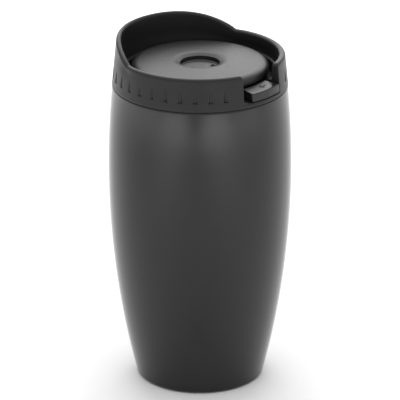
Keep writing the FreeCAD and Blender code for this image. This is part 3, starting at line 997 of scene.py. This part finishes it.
# %% Steel, copper and the getter's pellet
def brushed_steel():
    """Satin steel with rings that follow the turning."""
    finish = Finish("brushed_steel")
    lines = grain(finish, 0.12, 4.0, rings(finish))
    bands = grain(finish, 1.8, 2.0, rings(finish))
    stain = grain(finish, 16, 3.0)
    shine = lines * 0.5 + bands * 0.3 + stain * 0.2
    colour = tint(finish, shine, (0.44, 0.43, 0.42), (0.66, 0.65, 0.63))
    return finish.shade(base_color=colour, metallic=1.0, roughness=0.20 + lines * 0.16 + stain * 0.05,
                        normal=relief(finish, lines, 0.004, 0.5))


def wrapped_foil():
    """Bright copper with creases and a little tarnish."""
    finish = Finish("copper_foil")
    creases = finish.node("ShaderNodeTexVoronoi", {"Vector": finish.place, "Scale": 1 / (9 * MM)},
                          feature="DISTANCE_TO_EDGE")
    crease = 1 - mask(finish, creases, 0.0, 0.06)
    tarnish = mask(finish, grain(finish, 12, 4.0), 0.4, 0.75)
    colour = tint(finish, tarnish, (0.86, 0.48, 0.32), (0.52, 0.25, 0.16))
    return finish.shade(base_color=colour, metallic=1.0, roughness=0.16 + tarnish * 0.22,
                        normal=relief(finish, crease + grain(finish, 1.5) * 0.4, 0.06))


def sintered_metal():
    """Dull pressed powder, full of pores."""
    finish = Finish("getter_pellet")
    pores = mask(finish, grain(finish, 0.35, 4.0), 0.35, 0.6)
    return finish.shade(base_color=tint(finish, pores, (0.06, 0.06, 0.06), (0.26, 0.26, 0.27)), metallic=0.6,
                        roughness=0.85 - pores * 0.2, normal=relief(finish, pores, 0.05))


steel = brushed_steel()
copper = wrapped_foil()
pellet = sintered_metal()

# %% [markdown]
# ## Rubber and silicone
#
# Both are soft, and both catch dust. The foot is black rubber, scuffed to grey on the ring that slides
# over tables, so its colour depends on the height: the lowest millimetre is paler, in patches. The
# seals are grey silicone, a little cloudy, with dust that dulls it in spots.

# %% Rubber and silicone
def scuffed_rubber():
    """Matt black rubber, scuffed at the bottom."""
    finish = Finish("foot_rubber")
    bits = grain(finish, 0.5, 4.0)
    low = 1 - mask(finish, height_of(finish), 0.0, 0.0012)
    scuff = low * mask(finish, grain(finish, 2.5, 4.0), 0.42, 0.62)
    colour = tint(finish, scuff * 0.7 + bits * 0.3, (0.012, 0.012, 0.012), (0.070, 0.067, 0.063))
    return finish.shade(base_color=colour, roughness=0.72 + scuff * 0.18,
                        normal=relief(finish, bits + grain(finish, 0.15) * 0.5, 0.03))


def soft_silicone():
    """Grey silicone with dust on it."""
    finish = Finish("seal_silicone")
    dust = mask(finish, grain(finish, 0.7, 5.0), 0.52, 0.75)
    cloud = grain(finish, 5, 2.0)
    colour = tint(finish, dust * 0.4 + cloud * 0.6, (0.10, 0.10, 0.10), (0.20, 0.20, 0.195))
    return finish.shade(base_color=colour, roughness=0.42 + dust * 0.25,
                        normal=relief(finish, grain(finish, 0.4), 0.01))


rubber = scuffed_rubber()
silicone = soft_silicone()

# %% [markdown]
# ## Dressing every piece
#
# A finish sits in a mesh's material slot. The visible pieces made above and the mechanical parts that
# come with the frame, which show when the lid lifts or the lever turns, are dressed in one go.

# %% Which piece wears what
def dress(thing, material):
    """Gives a whole piece one finish."""
    thing.data.materials.clear()
    thing.data.materials.append(material)


steel_parts = [nodes[name] for name in ("base_disc", "vacuum_seal", "lever_pins", "valve_clip")]
soft_parts = [nodes[name] for name in ("seat_o_ring", "shutter_seal", "hub_o_ring", "vent_valve")]
wardrobe = [
    (gunmetal, [barrel_shell]),
    (steel, [steel_liner, button_coil] + steel_parts),
    (copper, [nodes["copper_foil"]]),
    (pellet, [nodes["getter"]]),
    (rubber, [rubber_foot]),
    (lid_black, [lid_moulding]),
    (cover_black, [cover_dome]),
    (lever_black, [lever_slider]),
    (button_black, [button_cap, button_arrow]),
    (inner_black, [nodes["valve_seat"], nodes["shutter"]]),
    (silicone, [gasket] + soft_parts),
]
for material, things in wardrobe:
    for thing in things:
        dress(thing, material)
print(sum(len(things) for _, things in wardrobe), "pieces dressed")

# %% [markdown]
# ## Floor, light and camera
#
# A dark glossy barrel shows its surroundings more than itself. From a camera that looks down on it,
# every part of its side mirrors the floor, so the light on the floor is what models the barrel. Lamps
# hang in a wide ring and shine straight down, and the gap between the two nearest the camera makes the
# dark streak at the shoulder, with a soft highlight on each side of it. Two more, closer in, carry the
# highlights down the side. The lid's flat faces mirror what is behind and above instead, which is two
# big panels.

# %% Floor
FLOOR_HALF = 2.5


def studio_floor():
    """Wide pale floor."""
    verts = [(x * FLOOR_HALF, y * FLOOR_HALF, 0) for x, y in ((-1, -1), (1, -1), (1, 1), (-1, 1))]
    floor = piece("studio_floor", verts, [(0, 1, 2, 3)])
    finish = Finish("pale_floor")
    speckle = grain(finish, 1.5, 3.0)
    colour = tint(finish, speckle, (0.90, 0.90, 0.90), (0.94, 0.94, 0.94))
    dress(floor, finish.shade(base_color=colour, roughness=0.8, normal=relief(finish, speckle, 0.02)))


studio_floor()

# %% Camera
VIEW_AZIMUTH = -47.0
VIEW_ELEVATION = 21.5
VIEW_DISTANCE = 1.5
LENS = 278.1
SENSOR = 36
AIM = Vector((0, 0, 0.08925))


def direction(azimuth, elevation):
    """Unit vector from the object towards an azimuth and an elevation."""
    flat = place(1, azimuth, 0).normalized() * math.cos(math.radians(elevation))
    return flat + Vector((0, 0, math.sin(math.radians(elevation))))


def look_at(thing, target):
    """Turns an object's -Z axis towards a place."""
    thing.rotation_euler = (target - thing.location).to_track_quat("-Z", "Y").to_euler()


def add_camera():
    """Long lens from well away, aimed a little above the barrel's middle."""
    camera = bpy.data.objects.new("camera", bpy.data.cameras.new("camera"))
    bpy.context.scene.collection.objects.link(camera)
    camera.location = AIM + direction(VIEW_AZIMUTH, VIEW_ELEVATION) * VIEW_DISTANCE
    camera.data.lens = LENS
    camera.data.sensor_width = SENSOR
    camera.data.clip_start = 0.01
    look_at(camera, AIM)
    bpy.context.scene.camera = camera
    return camera


print("camera stands at", [round(value, 2) for value in add_camera().location])

# %% Lights
def panel(name, location, size, brightness, target, beam=180):
    """Soft rectangular light. Brightness is what it looks like, with 1 for white paper."""
    light = bpy.data.lights.new(name, "AREA")
    light.shape = "RECTANGLE"
    light.size, light.size_y = size
    light.energy = brightness * math.pi * size[0] * size[1]
    light.spread = math.radians(beam)
    lamp = bpy.data.objects.new(name, light)
    bpy.context.scene.collection.objects.link(lamp)
    lamp.location = location
    look_at(lamp, target)
    return lamp


def white_room(stops):
    """Light from all round, with a brightness for each height: 0 is the horizon, 1 straight up."""
    world = bpy.data.worlds.new("white_room")
    world.use_nodes = True
    sky = Tree(world.node_tree)
    brightest = max(brightness for _, brightness in stops)
    greys = [(position, (*[brightness / brightest] * 3, 1)) for position, brightness in stops]
    way = sky.node("ShaderNodeTexCoord", {}, output="Generated")
    height = sky.node("ShaderNodeSeparateXYZ", {"Vector": way}, output=2)
    background = sky.tree.nodes["Background"]
    feed(sky.tree, background.inputs["Color"], sky.node("ShaderNodeValToRGB", {"Fac": height}, stops=greys))
    background.inputs["Strength"].default_value = brightest
    bpy.context.scene.world = world


# %% The room and its lamps
# Each patch of light: distance from the axis in mm, degrees from the camera's side, brightness
LID = Vector((0, 0, LEDGE * MM))
PANEL_DISTANCE = 1.3
PATCH_HEIGHT = 0.4
PATCH_SIZE = 0.6
PATCHES = [(820, 20, 2.1), (820, 58, 0.9), (820, 97, 0.3), (820, 137, 0.8), (820, 180, 1.2), (820, 219, 1.0),
           (820, 255, 0.9), (820, 292, 1.0), (820, 329, 1.8), (420, 32, 0.6), (420, 322, 0.6)]
white_room([(0.0, 0.80), (1.0, 1.3), (0.2, 0.70), (0.45, 0.72), (0.7, 1.1)])
panel("back_panel", direction(VIEW_AZIMUTH + 180, 30) * PANEL_DISTANCE, (1.2, 0.8), 1.9, LID)
panel("top_panel", direction(VIEW_AZIMUTH + 180, 62) * PANEL_DISTANCE, (0.9, 0.6), 2.0, LID)
for radius, offset, brightness in PATCHES:
    spot = place(radius, VIEW_AZIMUTH + offset, 0)
    above = spot + Vector((0, 0, PATCH_HEIGHT))
    side = PATCH_SIZE * radius * MM
    lamp = panel(f"patch_{radius}_{offset}", above, (side, side), brightness, spot, beam=60)
    lamp.rotation_euler = (0, 0, math.radians(VIEW_AZIMUTH + offset))
bpy.context.scene.view_settings.view_transform = "Standard"
